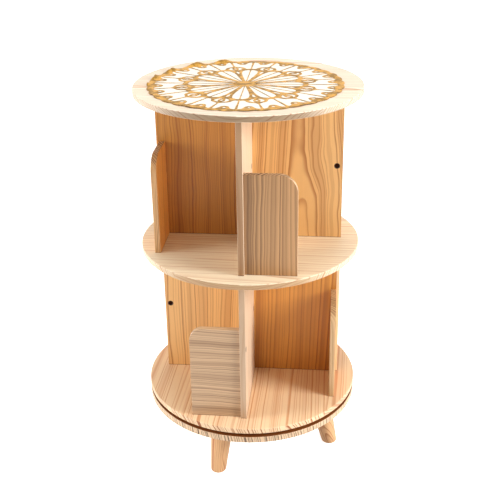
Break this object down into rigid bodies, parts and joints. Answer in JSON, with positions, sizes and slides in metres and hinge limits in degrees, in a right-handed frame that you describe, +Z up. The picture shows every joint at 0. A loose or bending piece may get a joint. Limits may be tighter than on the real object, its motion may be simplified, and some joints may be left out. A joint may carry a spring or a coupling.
{
  "type": "revolving bookcase",
  "caption": "Two-tier round revolving bookcase in pine, with crossed dividers, corner stoppers, splayed legs and an openwork mat on top.",
  "frame": {"origin": "on the floor, below the turning axis, at the centre of the round boards", "axes": "+Z up along the turning axis, +X right and -Y front; at rest the crossed dividers lie along X and Y"},
  "size_m": [0.4599, 0.46, 0.8089],
  "materials": {
    "pine_board": "satin clear lacquer on pine",
    "pine_divider": "satin clear lacquer on pine",
    "pine_stopper": "satin clear lacquer on pine",
    "pine_leg": "turned pine, satin lacquer",
    "beech_dowel": "bare fluted beech",
    "zinc_screw": "zinc plated",
    "black_screw": "black phosphate",
    "brass_insert": "machined",
    "galvanised_plate": "galvanised",
    "steel_ball": "polished",
    "nylon_cage": "moulded",
    "white_film": "matt film",
    "gold_net": "pressed gold vinyl"
  },
  "bodies": {
    "base": {"base_board": "pine_board", "leg_right": "pine_leg", "leg_rear": "pine_leg", "leg_left": "pine_leg", "leg_front": "pine_leg", "leg_hanger_bolts": "zinc_screw", "leg_insert_nuts": "brass_insert", "bearing_lower_plate": "galvanised_plate", "bearing_retaining_ring": "galvanised_plate", "bearing_base_screws": "zinc_screw"},
    "carcass": {"top_board": "pine_board", "middle_shelf": "pine_board", "lower_board": "pine_board", "upper_divider_wide": "pine_divider", "upper_divider_front": "pine_divider", "upper_divider_rear": "pine_divider", "lower_divider_wide": "pine_divider", "lower_divider_front": "pine_divider", "lower_divider_rear": "pine_divider", "upper_stopper_front": "pine_stopper", "upper_stopper_right": "pine_stopper", "upper_stopper_rear": "pine_stopper", "upper_stopper_left": "pine_stopper", "lower_stopper_front": "pine_stopper", "lower_stopper_right": "pine_stopper", "lower_stopper_rear": "pine_stopper", "lower_stopper_left": "pine_stopper", "top_dowels": "beech_dowel", "shelf_dowels": "beech_dowel", "upper_centre_dowels": "beech_dowel", "upper_stopper_dowels": "beech_dowel", "lower_centre_dowels": "beech_dowel", "lower_stopper_dowels": "beech_dowel", "lower_board_screws": "zinc_screw", "upper_stopper_screws": "black_screw", "lower_stopper_screws": "black_screw", "bearing_upper_plate": "galvanised_plate", "bearing_board_screws": "zinc_screw", "mat_film": "white_film", "mat_net": "gold_net"},
    "ball_cage": {"bearing_ball_cage": "nylon_cage", "bearing_balls": "steel_ball"}
  },
  "joints": [
    {"name": "carcass_spin", "type": "hinge", "parent": "base", "child": "carcass", "pos_m": [0, 0, 0.128], "axis": [0, 0, 1], "continuous": true},
    {"name": "ball_cage_spin", "type": "hinge", "parent": "base", "child": "ball_cage", "pos_m": [0, 0, 0.128], "axis": [0, 0, 1], "continuous": true}
  ],
  "couplings": [
    {"joint": "ball_cage_spin", "follows": "carcass_spin", "ratio": 0.5}
  ]
}
